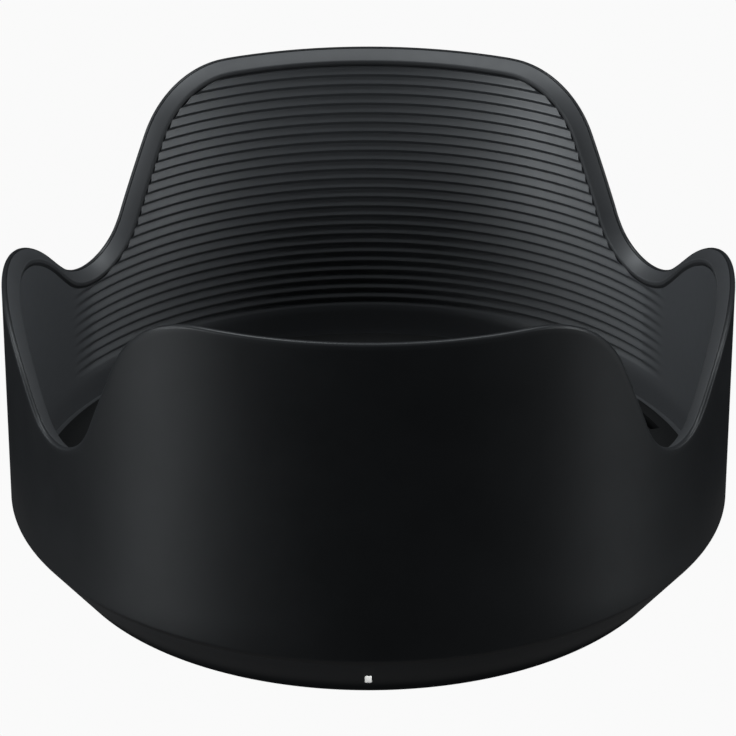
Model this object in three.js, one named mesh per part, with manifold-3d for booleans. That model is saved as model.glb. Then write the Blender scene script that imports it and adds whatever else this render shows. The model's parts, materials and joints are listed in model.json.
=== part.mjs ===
// A petal lens hood that clips to the front of a lens with a bayonet, with a press-to-release lock in its foot.
// Sizes are in millimetres. The origin is the centre of the mount-end face and +Z runs toward the subject.
// The two tall petals stand at +Y and -Y, the two short ones at +X and -X, and the index mark faces -Y.

import * as THREE from 'three';
import { mergeVertices } from 'three/addons/utils/BufferGeometryUtils.js';
import Module from 'manifold-3d';

const wasm = await Module();
wasm.setup();

const { degToRad } = THREE.MathUtils;
const QUARTER_TURN = Math.PI / 2;

// ---------- driving dimensions ----------

const OUTER_R = 47;                      // outside of the hood's barrel
const WALL = 2.2;                        // barrel wall
const FOOT_Z = 7.6;                      // where the barrel ends and the tapered foot begins
const FOOT_R = 40.6;                     // outside of the foot at the mount-end face
const BORE_R = 39.2;                     // clear bore that slides over the lens front

const TALL_Z = 50.7;                      // top of the tall petals
const VALLEY_Z = 26.9;                   // lowest point between two petals
const VALLEY_ANGLE = degToRad(33.9);     // valley position, measured from the middle of a short petal
const VALLEY_RADIUS = 8.2;
const SHOULDER_RADIUS = 14.7;            // rounded shoulders of the tall petals
const CROWN_RADIUS = 30;                 // rounded top of the short petals
const SHALLOW_SLOPE = degToRad(41);      // edge slope on a short petal's side of the valley
const STEEP_SLOPE = degToRad(64.5);      // edge slope on a tall petal's side of the valley

const LIP_THICKNESS = 0.65;              // outer lip of the petal edge, in front of the rim trim
const EDGE_BREAK = 0.25;                 // small chamfer round the barrel's lower edge
const RIM_ROUND = 0.4;                   // rounded outer corner of the petal edge
const RIM_SLOPE = degToRad(36);          // fall of the petal edge's face, inward from that corner
const TRIM_DEPTH = 2.2;                  // how far the rim trim reaches down from the petal edge
const TRIM_BEAD = 0.1;                   // how far the trim's bead stands in from the wall
const TRIM_BEAD_EASE = 0.3;              // broken corner between the sloping face and the bead
const TRIM_BEAD_DEPTH = 1.75;            // the bead's lower edge, above a groove that opens to the wall
const TRIM_GROOVE = 0.25;                // how far that groove reaches outward under the bead
const TRIM_FIT = 0.05;                   // clearance of the trim in its rebate

const SEAT_Z = 7;                        // top of the foot, where the shell's inner lip and the baffle rest
const BAFFLE_TOP_Z = 8.3;
const BAFFLE_OUTER_R = 43.6;
const BAFFLE_INNER_R = 38.2;
const CAVITY_OUTER_R = 42.8;             // hollow between the bore wall and the tapered skin
const CAVITY_INNER_R = 40.5;
const GAP = 0.3;                         // clearance between separate mouldings

const BUTTON_ANGLE = degToRad(25);
const BUTTON_HALF_WIDTH = 5.7;
const BUTTON_TOP_Z = 5.3;
const BUTTON_BOTTOM_Z = 2.7;
const BUTTON_INNER_R = 42;
const BUTTON_PROUD = 0.7;                // how far the button stands out of the foot's taper
const BUTTON_EAR_ANGLE = 9.6;            // each retaining ear's reach to the side, in degrees about Z
const GRIP_GROOVE_R = 0.4;
const GRIP_PITCH = 2.4;                  // spacing of the grip grooves across the button
const SPRING_OFFSET = 2.6;               // each spring, sideways from the button's middle
const SPRING_Z = 4;
const SPRING_HOLE_R = 1.05;
const SPRING_HOLE_END_R = 43.5;          // blind end of the button's spring holes
const PIVOT_ANGLE = degToRad(39);
const PIVOT_R = 41.2;
const PIN_R = 0.5;
const PIN_FOOT_Z = 1.7;
const LEVER_BOTTOM_Z = 4.3;
const LEVER_TOP_Z = 5.5;
const TOOTH_REACH_R = 38.35;             // tip of the lock tooth, inside the bore

const SCREW_ANGLES = [60, 120, 240, 300].map(degToRad);
const SCREW_CIRCLE_R = 41.3;
const SCREW_HEAD_Z = 7.65;               // floor of the counterbores in the baffle
const SCREW_SHANK_R = 0.7;
const SCREW_HEAD_R = 1.4;
const SCREW_HEAD_HEIGHT = 0.5;
const SCREW_LENGTH = 3.8;
const SCREW_POST_R = 1.6;
const RING_SIDES = 96;

const TAPER = (OUTER_R - EDGE_BREAK - FOOT_R) / FOOT_Z;    // outward run of the foot per mm of height
const TAPER_ANGLE = Math.atan(TAPER);                      // lean of the foot's skin from vertical

// ---------- materials ----------

const satinBlack = { color: 0x17181a, roughness: 0.48, metalness: 0 };
const MATERIALS = {
  shell: satinBlack,
  trim: { color: 0x1c1d1f, roughness: 0.62, metalness: 0 },
  foot: satinBlack,
  baffle: { color: 0x131415, roughness: 0.7, metalness: 0 },
  button: { color: 0x1b1c1e, roughness: 0.55, metalness: 0 },
  lever: { color: 0x26272a, roughness: 0.5, metalness: 0 },
  steel: { color: 0xb9bcc0, roughness: 0.3, metalness: 1 },
  blackScrew: { color: 0x2a2b2d, roughness: 0.35, metalness: 1 },
  mark: { color: 0xf4f4f2, roughness: 0.5, metalness: 0 },
};

const hood = new THREE.Group();

function addPart(name, geometry, material, place = () => {}) {
  const mesh = new THREE.Mesh(geometry, new THREE.MeshStandardMaterial(MATERIALS[material]));
  mesh.name = name;
  place(mesh);
  hood.add(mesh);
}

// ---------- solids ----------

function toSolid(geometry) {
  const bare = geometry.clone();
  bare.deleteAttribute('normal');
  bare.deleteAttribute('uv');
  const merged = mergeVertices(bare, 1e-4);
  return new wasm.Manifold(new wasm.Mesh({
    numProp: 3,
    vertProperties: new Float32Array(merged.attributes.position.array),
    triVerts: new Uint32Array(merged.index.array),
  }));
}

function toGeometry(solid) {
  const mesh = solid.getMesh();
  const geometry = new THREE.BufferGeometry();
  geometry.setAttribute('position', new THREE.BufferAttribute(mesh.vertProperties, 3));
  geometry.setIndex(new THREE.BufferAttribute(mesh.triVerts, 1));
  geometry.computeVertexNormals();
  return geometry;
}

const joined = (first, ...others) => others.reduce((solid, other) => solid.add(toSolid(other)), first);
const cutBy = (first, ...others) => others.reduce((solid, other) => solid.subtract(toSolid(other)), first);

// A ring about Z. The profile is a list of [radius, z], counter-clockwise, and closes on itself.
function ring(profile, segments) {
  const points = [...profile, profile[0]].map(([r, z]) => new THREE.Vector2(r, z));
  return new THREE.LatheGeometry(points, segments).rotateX(QUARTER_TURN);
}

// A block between two heights, two radii and two angles about Z in degrees.
function sector(bottom, top, { innerR, outerR, from, to }) {
  const shape = new THREE.Shape();
  shape.absarc(0, 0, outerR, degToRad(from), degToRad(to), false);
  shape.absarc(0, 0, innerR, degToRad(to), degToRad(from), true);
  return new THREE.ExtrudeGeometry(shape, { depth: top - bottom, bevelEnabled: false, curveSegments: 8 })
    .translate(0, 0, bottom);
}

// An upright cylinder at a radius and angle about Z.
function post(radius, bottom, top, atR, atAngle, sides = 24) {
  const geometry = new THREE.CylinderGeometry(radius, radius, top - bottom, sides);
  return geometry.rotateX(QUARTER_TURN)
    .translate(atR * Math.cos(atAngle), atR * Math.sin(atAngle), (top + bottom) / 2);
}

// A box in the button's own axes: x outward along its travel, y sideways, z up.
function buttonBox(fromX, toX, fromY, toY, bottom, top) {
  return new THREE.BoxGeometry(toX - fromX, toY - fromY, top - bottom)
    .translate((fromX + toX) / 2, (fromY + toY) / 2, (bottom + top) / 2);
}

const taperRadiusAt = (z) => FOOT_R + TAPER * z;

// ---------- petal edge ----------

// One quarter of the edge, laid flat: x is arc length round the barrel from the middle of a short petal and
// y is height.
function quarterOutline() {
  const valleyX = OUTER_R * VALLEY_ANGLE;
  const steepFromX = valleyX + VALLEY_RADIUS * Math.sin(STEEP_SLOPE);
  const steepFromZ = VALLEY_Z + VALLEY_RADIUS * (1 - Math.cos(STEEP_SLOPE));
  const steepToZ = TALL_Z - SHOULDER_RADIUS * (1 - Math.cos(STEEP_SLOPE));
  const shoulderX = steepFromX + (steepToZ - steepFromZ) / Math.tan(STEEP_SLOPE)
    + SHOULDER_RADIUS * Math.sin(STEEP_SLOPE);
  const arcsRun = (VALLEY_RADIUS + CROWN_RADIUS) * Math.sin(SHALLOW_SLOPE);
  const arcsRise = (VALLEY_RADIUS + CROWN_RADIUS) * (1 - Math.cos(SHALLOW_SLOPE));
  const crownZ = VALLEY_Z + arcsRise + (valleyX - arcsRun) * Math.tan(SHALLOW_SLOPE);

  const path = new THREE.Path();
  path.absarc(0, crownZ - CROWN_RADIUS, CROWN_RADIUS, QUARTER_TURN, QUARTER_TURN - SHALLOW_SLOPE, true);
  path.absarc(valleyX, VALLEY_Z + VALLEY_RADIUS, VALLEY_RADIUS,
    -QUARTER_TURN - SHALLOW_SLOPE, -QUARTER_TURN + STEEP_SLOPE, false);
  path.absarc(shoulderX, TALL_Z - SHOULDER_RADIUS, SHOULDER_RADIUS,
    QUARTER_TURN + STEEP_SLOPE, QUARTER_TURN, true);
  path.lineTo(OUTER_R * QUARTER_TURN, TALL_Z);
  return path;
}

// Evenly spaced stations all round the edge, each with its point and the direction down into the wall.
function edgeStations(perQuarter) {
  const path = quarterOutline();
  const quarter = [];
  for (let i = 0; i <= perQuarter; i += 1) {
    const point = path.getPoint(i / perQuarter);
    const along = path.getTangent(i / perQuarter);
    quarter.push({ x: point.x, z: point.y, downX: along.y, downZ: -along.x });
  }
  const mirrored = quarter.slice(1, -1).reverse().map((s) => ({ ...s, x: -s.x, downX: -s.downX }));
  const shift = (s, x) => ({ ...s, x: s.x + x });
  const halfTurn = OUTER_R * Math.PI;
  const half = [...quarter, ...mirrored.map((s) => shift(s, halfTurn))];
  return [...half, ...half.map((s) => shift(s, halfTurn))];
}

const stations = edgeStations(40);

const onBarrel = (radius, x, z) => {
  const angle = x / OUTER_R;
  return [radius * Math.cos(angle), radius * Math.sin(angle), z];
};
// Rows of a petal tube: at a depth below the edge, or at a fixed height.
const below = (radius, depth) => (s) => onBarrel(radius, s.x + depth * s.downX, s.z + depth * s.downZ);
const level = (radius, z) => (s) => onBarrel(radius, s.x, z);

// A closed ring whose section follows the petal edge. Rows run counter-clockwise round the section.
function petalTube(rows) {
  const section = [...rows, rows[0]];
  const geometry = new THREE.LatheGeometry(section.map((_, j) => new THREE.Vector2(1, j)), stations.length);
  const position = geometry.attributes.position;
  for (let i = 0; i < position.count; i += 1) {
    const station = stations[Math.floor(i / section.length) % stations.length];
    position.setXYZ(i, ...section[i % section.length](station));
  }
  geometry.computeVertexNormals();
  return geometry;
}

const INNER_R = OUTER_R - WALL;
const LIP_R = OUTER_R - LIP_THICKNESS;
const SHELL_LIP_R = CAVITY_OUTER_R + GAP / 2;    // inner edge of the lip that the baffle clamps

// Depth of the petal edge's sloping face below its crest; the slope leaves the rounded corner as a tangent.
const faceDepthAt = (radius) =>
  (OUTER_R - RIM_ROUND - radius) * Math.tan(RIM_SLOPE) + RIM_ROUND * (1 - 1 / Math.cos(RIM_SLOPE));

function hoodShell() {
  return petalTube([
    level(taperRadiusAt(SEAT_Z), SEAT_Z),
    level(OUTER_R - EDGE_BREAK, FOOT_Z),
    level(OUTER_R, FOOT_Z + EDGE_BREAK),
    below(OUTER_R, TRIM_DEPTH),
    below(OUTER_R, RIM_ROUND),
    below(OUTER_R - RIM_ROUND * (1 - Math.SQRT1_2), RIM_ROUND * (1 - Math.SQRT1_2)),
    below(OUTER_R - RIM_ROUND, 0),
    below(LIP_R, faceDepthAt(LIP_R)),
    below(LIP_R, TRIM_DEPTH),
    below(INNER_R, TRIM_DEPTH),
    level(INNER_R, FOOT_Z),
    level(SHELL_LIP_R, FOOT_Z),
    level(SHELL_LIP_R, SEAT_Z),
  ]);
}

function rimTrim() {
  const beadR = INNER_R - TRIM_BEAD;
  const seatR = LIP_R - TRIM_FIT;
  const seatDepth = TRIM_DEPTH - TRIM_FIT;
  return petalTube([
    below(INNER_R + TRIM_GROOVE, seatDepth),
    below(seatR, seatDepth),
    below(seatR, faceDepthAt(seatR)),
    below(beadR + TRIM_BEAD_EASE, faceDepthAt(beadR + TRIM_BEAD_EASE)),
    below(beadR, faceDepthAt(beadR) + TRIM_BEAD_EASE / 3),
    below(beadR, TRIM_BEAD_DEPTH),
  ]);
}

// ---------- foot and light baffle ----------

const LUG_ANGLES = [90, 210, 330];       // middles of the bayonet lugs, in degrees
const LUG_HALF_ANGLE = 16;
const LUG_TIP_R = 37.8;
const LUG_BOTTOM_Z = 0.9;
const LUG_TOP_Z = 2.3;

const SKIN = 1.5;                        // horizontal thickness of the foot's tapered skin
const POCKET_FLOOR_Z = 2.7;
const LOCK_POCKET = { innerR: 39.9, outerR: CAVITY_OUTER_R, from: 14, to: 53 };
const TOOTH_WINDOW = { innerR: BORE_R - 0.5, outerR: LOCK_POCKET.innerR + 0.2, from: 46.2, to: 51.4 };
const BAFFLE_SLOT = { innerR: 40.5, outerR: 41.8, from: 19.6, to: 31 };    // opens over the lock

const MARK = { width: 0.86, length: 2.4, thickness: 0.3, proud: 0.01, z: 3.13 };
const MARK_CLEARANCE = 0.04;

// The index mark lies flat on the taper, facing -Y; sizes are grown by `extra` to make its recess.
function markBlock(extra) {
  const deep = MARK.thickness + extra;
  return new THREE.BoxGeometry(MARK.width + 2 * extra, deep, MARK.length + 2 * extra)
    .translate(0, deep / 2 - MARK.proud, 0)
    .rotateX(TAPER_ANGLE)
    .translate(0, -taperRadiusAt(MARK.z), MARK.z);
}

// The part of a solid that lies inside the foot's taper, at least `skin` in from its surface.
function withinTaper(geometry, skin) {
  const top = SEAT_Z + 1;
  const cone = ring([[0, 0], [FOOT_R - skin, 0], [taperRadiusAt(top) - skin, top], [0, top]], RING_SIDES);
  return toGeometry(toSolid(geometry).intersect(toSolid(cone)));
}

function footRing() {
  const profile = [
    [BORE_R, 0],
    [FOOT_R, 0],
    [taperRadiusAt(SEAT_Z), SEAT_Z],
    [CAVITY_OUTER_R, SEAT_Z],
    [CAVITY_OUTER_R, 4.3],
    [CAVITY_INNER_R, 2.2],
    [CAVITY_INNER_R, SEAT_Z],
    [BORE_R, SEAT_Z],
  ];
  const lugs = LUG_ANGLES.map((angle) => sector(LUG_BOTTOM_Z, LUG_TOP_Z, {
    innerR: LUG_TIP_R, outerR: BORE_R + 0.2, from: angle - LUG_HALF_ANGLE, to: angle + LUG_HALF_ANGLE,
  }));
  const screwPosts = SCREW_ANGLES.map((angle) => post(SCREW_POST_R, 2, SEAT_Z, SCREW_CIRCLE_R, angle))
    .map((geometry) => withinTaper(geometry, SKIN / 2));
  const pocket = sector(POCKET_FLOOR_Z, SEAT_Z + 1, LOCK_POCKET);
  const pivotPost = withinTaper(post(1, 1, LEVER_BOTTOM_Z - 0.1, PIVOT_R, PIVOT_ANGLE), SKIN / 2);
  const windowHalfWidth = BUTTON_HALF_WIDTH + GAP;
  const window = buttonBox(LOCK_POCKET.innerR + 0.5, OUTER_R + 2, -windowHalfWidth, windowHalfWidth,
    BUTTON_BOTTOM_Z - GAP, BUTTON_TOP_Z + GAP).rotateZ(BUTTON_ANGLE);

  const body = joined(toSolid(ring(profile, RING_SIDES)), ...lugs, ...screwPosts);
  const pocketed = joined(cutBy(body, withinTaper(pocket, SKIN)), pivotPost);
  return toGeometry(cutBy(
    pocketed,
    window,
    post(PIN_R + 0.02, PIN_FOOT_Z - 0.1, LEVER_TOP_Z, PIVOT_R, PIVOT_ANGLE),
    sector(LEVER_BOTTOM_Z - GAP, LEVER_TOP_Z + GAP, TOOTH_WINDOW),
    ...SCREW_ANGLES.map((angle) => post(SCREW_SHANK_R + 0.08, 2.9, SEAT_Z + 1, SCREW_CIRCLE_R, angle)),
    markBlock(MARK_CLEARANCE),
  ));
}

function lightBaffle() {
  const plate = ring([
    [BAFFLE_INNER_R + 0.4, SEAT_Z],
    [SHELL_LIP_R - GAP, SEAT_Z],
    [SHELL_LIP_R - GAP, FOOT_Z],
    [BAFFLE_OUTER_R, FOOT_Z],
    [BAFFLE_OUTER_R, BAFFLE_TOP_Z - 0.2],
    [BAFFLE_OUTER_R - 0.2, BAFFLE_TOP_Z],
    [BAFFLE_INNER_R, BAFFLE_TOP_Z],
    [BAFFLE_INNER_R, BAFFLE_TOP_Z - 0.4],
  ], RING_SIDES);
  const screwHoles = (radius, bottom) => SCREW_ANGLES.map((angle) => (
    post(radius, bottom, BAFFLE_TOP_Z + 1, SCREW_CIRCLE_R, angle)));
  return toGeometry(cutBy(
    toSolid(plate),
    sector(SEAT_Z - 1, BAFFLE_TOP_Z + 1, BAFFLE_SLOT),
    ...screwHoles(SCREW_SHANK_R + 0.15, SEAT_Z - 1),
    ...screwHoles(SCREW_HEAD_R + 0.1, SCREW_HEAD_Z),
  ));
}

// A pan-head screw, its head's underside at z = 0, with a cross recess.
function screw() {
  const side = ring([
    [0, -SCREW_LENGTH],
    [SCREW_SHANK_R, 0.3 - SCREW_LENGTH],
    [SCREW_SHANK_R, 0],
    [SCREW_HEAD_R, 0],
    [SCREW_HEAD_R, SCREW_HEAD_HEIGHT - 0.2],
    [SCREW_HEAD_R - 0.2, SCREW_HEAD_HEIGHT],
    [0, SCREW_HEAD_HEIGHT],
  ], 20);
  const slot = new THREE.BoxGeometry(1.5, 0.3, 0.6).translate(0, 0, SCREW_HEAD_HEIGHT);
  return toGeometry(cutBy(toSolid(side), slot, slot.clone().rotateZ(QUARTER_TURN)));
}

// ---------- lock ----------

function lockButton() {
  const outward = BUTTON_PROUD / Math.cos(TAPER_ANGLE);
  const faceX = (z) => taperRadiusAt(z) + outward;
  const side = new THREE.Shape([
    [BUTTON_INNER_R, BUTTON_BOTTOM_Z],
    [faceX(BUTTON_BOTTOM_Z) - 0.3, BUTTON_BOTTOM_Z],
    [faceX(BUTTON_BOTTOM_Z + 0.2), BUTTON_BOTTOM_Z + 0.2],
    [faceX(BUTTON_TOP_Z - 0.2), BUTTON_TOP_Z - 0.2],
    [faceX(BUTTON_TOP_Z) - 0.5, BUTTON_TOP_Z],
    [BUTTON_INNER_R, BUTTON_TOP_Z],
  ].map(([x, z]) => new THREE.Vector2(x, z)));
  const block = new THREE.ExtrudeGeometry(side, { depth: 2 * BUTTON_HALF_WIDTH, bevelEnabled: false })
    .translate(0, 0, -BUTTON_HALF_WIDTH).rotateX(QUARTER_TURN);
  const ears = sector(LEVER_BOTTOM_Z, BUTTON_TOP_Z, {
    innerR: BUTTON_INNER_R, outerR: CAVITY_OUTER_R - GAP, from: -BUTTON_EAR_ANGLE, to: BUTTON_EAR_ANGLE,
  });
  const holeLength = SPRING_HOLE_END_R - BUTTON_INNER_R + 1;
  const springHoles = [-SPRING_OFFSET, SPRING_OFFSET].map((y) => (
    new THREE.CylinderGeometry(SPRING_HOLE_R, SPRING_HOLE_R, holeLength, 20)
      .rotateZ(QUARTER_TURN).translate(SPRING_HOLE_END_R - holeLength / 2, y, SPRING_Z)));
  const midZ = (BUTTON_TOP_Z + BUTTON_BOTTOM_Z) / 2;
  const grooves = [-1.5, -0.5, 0.5, 1.5].map((place) => (
    new THREE.CylinderGeometry(GRIP_GROOVE_R, GRIP_GROOVE_R, 8, 12)
      .rotateX(QUARTER_TURN).rotateY(TAPER_ANGLE).translate(faceX(midZ), place * GRIP_PITCH, midZ)));
  const button = cutBy(joined(toSolid(block), ears), ...springHoles, ...grooves);
  return toGeometry(button);
}

// A coil about X from x = 0 to `length`.
class Coil extends THREE.Curve {
  constructor(radius, length, turns) {
    super();
    Object.assign(this, { radius, length, turns });
  }

  getPoint(t, target = new THREE.Vector3()) {
    const angle = 2 * Math.PI * this.turns * t;
    return target.set(t * this.length, this.radius * Math.cos(angle), this.radius * Math.sin(angle));
  }
}

const SPRING = { fromX: 40.05, toX: 43.35, coilR: 0.75, wireR: 0.11, turns: 5 };

function lockSpring() {
  const wire = new THREE.Shape();
  wire.absarc(0, 0, SPRING.wireR, 0, 2 * Math.PI, false);
  const length = SPRING.toX - SPRING.fromX - 2 * SPRING.wireR;
  const coil = new Coil(SPRING.coilR, length, SPRING.turns);
  return new THREE.ExtrudeGeometry(wire, { extrudePath: coil, steps: SPRING.turns * 10, curveSegments: 3,
    bevelEnabled: false }).translate(SPRING.wireR, 0, 0);
}

// The button's ear bears on the pad, and the arm beyond the pivot carries the tooth.
const LEVER_ARMS = {
  pad: { innerR: 41.1, outerR: 41.9, from: 31.2, to: 33.4 },
  pushArm: { innerR: 40.8, outerR: 41.5, from: 32.8, to: 38.5 },
  toothArm: { innerR: 40.2, outerR: 41.3, from: 39.5, to: 50 },
  tooth: { innerR: TOOTH_REACH_R, outerR: 40.4, from: 47, to: 50 },
};
const LEVER_HUB_R = 1.15;

function lockLever() {
  const arms = Object.values(LEVER_ARMS).map((arm) => sector(LEVER_BOTTOM_Z, LEVER_TOP_Z, arm));
  const hub = post(LEVER_HUB_R, LEVER_BOTTOM_Z, LEVER_TOP_Z, PIVOT_R, PIVOT_ANGLE);
  const bore = post(PIN_R + 0.06, LEVER_BOTTOM_Z - 1, LEVER_TOP_Z + 1, PIVOT_R, PIVOT_ANGLE);
  return toGeometry(cutBy(joined(toSolid(hub), ...arms), bore));
}

// ---------- assembly ----------

addPart('hood_shell', hoodShell(), 'shell');
addPart('rim_trim', rimTrim(), 'trim');
addPart('foot_ring', footRing(), 'foot');
addPart('light_baffle', lightBaffle(), 'baffle');
addPart('index_mark', markBlock(0), 'mark');
addPart('lever_pin', post(PIN_R, PIN_FOOT_Z, SEAT_Z - 0.1, PIVOT_R, PIVOT_ANGLE), 'steel');
addPart('lock_lever', lockLever(), 'lever');

SCREW_ANGLES.forEach((angle, i) => {
  addPart(`baffle_screw_${i + 1}`, screw(), 'blackScrew', (mesh) => {
    mesh.position.set(SCREW_CIRCLE_R * Math.cos(angle), SCREW_CIRCLE_R * Math.sin(angle), SCREW_HEAD_Z);
    mesh.rotation.z = angle;
  });
});

addPart('lock_button', lockButton(), 'button', (mesh) => {
  mesh.rotation.z = BUTTON_ANGLE;
});

[['lock_spring_a', -SPRING_OFFSET], ['lock_spring_b', SPRING_OFFSET]].forEach(([name, y]) => {
  addPart(name, lockSpring(), 'steel', (mesh) => {
    mesh.position.set(SPRING.fromX, y, SPRING_Z).applyAxisAngle(new THREE.Vector3(0, 0, 1), BUTTON_ANGLE);
    mesh.rotation.z = BUTTON_ANGLE;
  });
});

export default hood;
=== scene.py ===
import json
import math

import bmesh
import bpy
import numpy as np
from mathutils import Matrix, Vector


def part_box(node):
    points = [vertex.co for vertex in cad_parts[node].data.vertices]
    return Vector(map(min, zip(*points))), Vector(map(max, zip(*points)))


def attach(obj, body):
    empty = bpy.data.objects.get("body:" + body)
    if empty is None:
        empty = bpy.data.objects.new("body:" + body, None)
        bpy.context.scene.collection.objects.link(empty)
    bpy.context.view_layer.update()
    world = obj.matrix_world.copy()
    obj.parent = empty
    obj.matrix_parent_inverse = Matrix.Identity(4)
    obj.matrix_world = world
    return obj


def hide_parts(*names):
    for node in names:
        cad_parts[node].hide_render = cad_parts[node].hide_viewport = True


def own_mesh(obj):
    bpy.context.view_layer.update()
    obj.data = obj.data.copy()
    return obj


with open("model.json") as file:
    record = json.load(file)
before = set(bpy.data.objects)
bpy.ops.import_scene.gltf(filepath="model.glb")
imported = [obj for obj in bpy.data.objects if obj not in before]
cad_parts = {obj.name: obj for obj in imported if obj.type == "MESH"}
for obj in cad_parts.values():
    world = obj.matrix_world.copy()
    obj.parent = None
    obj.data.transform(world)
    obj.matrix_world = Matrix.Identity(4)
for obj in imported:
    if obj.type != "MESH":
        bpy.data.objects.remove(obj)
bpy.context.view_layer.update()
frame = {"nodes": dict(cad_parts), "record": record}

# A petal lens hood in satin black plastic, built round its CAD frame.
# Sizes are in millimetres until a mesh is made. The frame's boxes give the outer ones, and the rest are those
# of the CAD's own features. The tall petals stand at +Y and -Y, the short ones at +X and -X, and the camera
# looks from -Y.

MM = 0.001


def box_mm(node):
    low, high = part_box(node)
    return np.round(np.array(low) / MM, 3), np.round(np.array(high) / MM, 3)


# ---------- sizes ----------

shell_high = box_mm("hood_shell")[1]
foot_high = box_mm("foot_ring")[1]
baffle_high = box_mm("light_baffle")[1]
button_low, button_high = box_mm("lock_button")
lever_low, lever_high = box_mm("lock_lever")
pin_low, pin_high = box_mm("lever_pin")
mark_low, mark_high = box_mm("index_mark")

OUTER_R = shell_high[0]                  # outside of the barrel
INNER_R = OUTER_R - 2.2                  # inside of the barrel's wall
LIP_R = OUTER_R - 0.65                   # inside of the outer lip that stands round the rim trim
SEAT_Z = foot_high[2]                    # where the shell and the baffle rest on the foot
LEDGE_Z = SEAT_Z + 0.6                   # floor inside the barrel, round the baffle
SHELL_LIP_R = 42.95                      # inner edge of the lip that the baffle clamps
TRIM_DEPTH = 2.2                         # the trim's rebate, down from the petal edge
TRIM_BEAD_DEPTH = 1.75                   # where the trim's bead ends and the groove under it begins
TRIM_GROOVE = 0.25                       # how far that groove is cut back from the inner wall
BARREL_EDGE_ROUND = 0.5                  # rounded corner where the barrel meets the foot's taper
EDGE_ROUND = 0.4                         # rounded outer corner of the petal edge
RIM_SLOPE = math.radians(36)             # fall of the petal edge's face, inward from that corner

FOOT_R = 40.6                            # mount end of the foot, outside and inside
BORE_R = 39.2
TAPER = (foot_high[0] - FOOT_R) / SEAT_Z
TAPER_ANGLE = math.atan(TAPER)
CAVITY_OUTER_R = 42.8                    # the foot's hollow, open to the baffle
CAVITY_INNER_R = 40.5
CAVITY_FLOOR_Z = 2.2                     # its floor, which rises outward to CAVITY_EDGE_Z
CAVITY_EDGE_Z = 4.3
SKIN = 1.5                               # horizontal thickness of the foot's tapered skin
GAP = 0.3                                # room round the parts that move

LUG_R = 37.8                             # inner radius of the bayonet lugs
LUG_Z = (0.9, 2.3)
LUG_ANGLES = (90, 210, 330)              # in degrees, as are all the sectors' angles
LUG_HALF_ANGLE = 16
BAFFLE_R = 38.2                          # inner radius of the baffle
BAFFLE_SLOT_R = (40.5, 41.8)
BAFFLE_SLOT_ANGLES = (19.6, 31)

RIB_PITCH = 1.4135
TOP_RIB_Z = 47.37
RIB_COUNT = 26
BOTTOM_RIB_Z = TOP_RIB_Z - (RIB_COUNT - 1) * RIB_PITCH
RIB_DEPTH = 0.3
RIB_SKEW = 0.64                          # share of the pitch from a rib's crest up to the groove above it
RIBS_FULL_ANGLE = math.radians(34)       # from the middle of a short petal: the ribs are full beyond this
RIBS_END_ANGLE = math.radians(26)        # and gone below this

BUTTON_ANGLE = math.radians(25)
BUTTON_HALF_WIDTH = 5.7
BUTTON_INNER_R = 42
BUTTON_PROUD = 0.7                       # how far it stands out of the taper, square to it
BUTTON_GROOVE_R = 0.4
BUTTON_GROOVE_PITCH = 2.4
EAR_HALF_ANGLE = 9.6
SPRING_OFFSET = 2.6                      # from the button's middle line
SPRING_Z = 4.0
SPRING_START_R = 40.05
SPRING_END_R = 43.35
SPRING_HOLE_R = 1.05
SPRING_HOLE_END_R = 43.5
SPRING_COIL_R = 0.75
SPRING_WIRE_R = 0.11
SPRING_TURNS = 5
PIVOT_ANGLE = math.radians(39)
PIVOT_R = 41.2
PIVOT_POST_R = 1
PIN_HOLE_TOP_Z = 6                       # clear of the post, inside the open pocket
PIN_R = 0.5
HUB_R = 1.15
LEVER_ARMS = [                           # (inner radius, outer radius, start angle, end angle)
    (41.1, 41.9, 31.2, 33.4),            # pad that the button's ear pushes
    (40.8, 41.5, 32.8, 38.5),
    (40.2, 41.3, 39.5, 50),
    (38.35, 40.4, 47, 50),               # tooth
]
LOCK_POCKET_R = 39.9                     # inner side and floor of the pocket that holds the lock
LOCK_POCKET_Z = 2.7
LOCK_POCKET_ANGLES = (14.3, 52.8)
TOOTH_WINDOW_ANGLES = (46.2, 51.4)

SCREW_ANGLES = [math.radians(a) for a in (60, 120, 240, 300)]
SCREW_CIRCLE_R = 41.3
SCREW_HEAD_Z = 7.65
SCREW_HEAD_R = 1.4
SCREW_SHANK_R = 0.7
SCREW_LENGTH = 3.8
SCREW_POST_R = 1.6
SCREW_HOLE_Z = 2.9                       # bottom of the posts' holes
THREAD_PITCH = 0.5
THREAD_DEPTH = 0.16
CROSS_HALF_LENGTH = 0.75                 # the cross recess in the screws' heads
CROSS_HALF_WIDTH = 0.15
MARK_THICKNESS = 0.3
MARK_CORNER = 0.3                        # radius of the plate's corners
MARK_PROUD = 0.02                        # how far it stands out of the taper
MARK_CLEARANCE = 0.04                    # between the plate and its recess
MARK_DROP = 0.09                         # the face's middle is this far below the middle of the plate's box
FINE_SIDES = 360                         # sides of the large rings


def taper_radius(z):
    return FOOT_R + TAPER * z


# ---------- solids: (points in mm, faces) ----------

def unit(vector):
    return vector / np.linalg.norm(vector)


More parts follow.
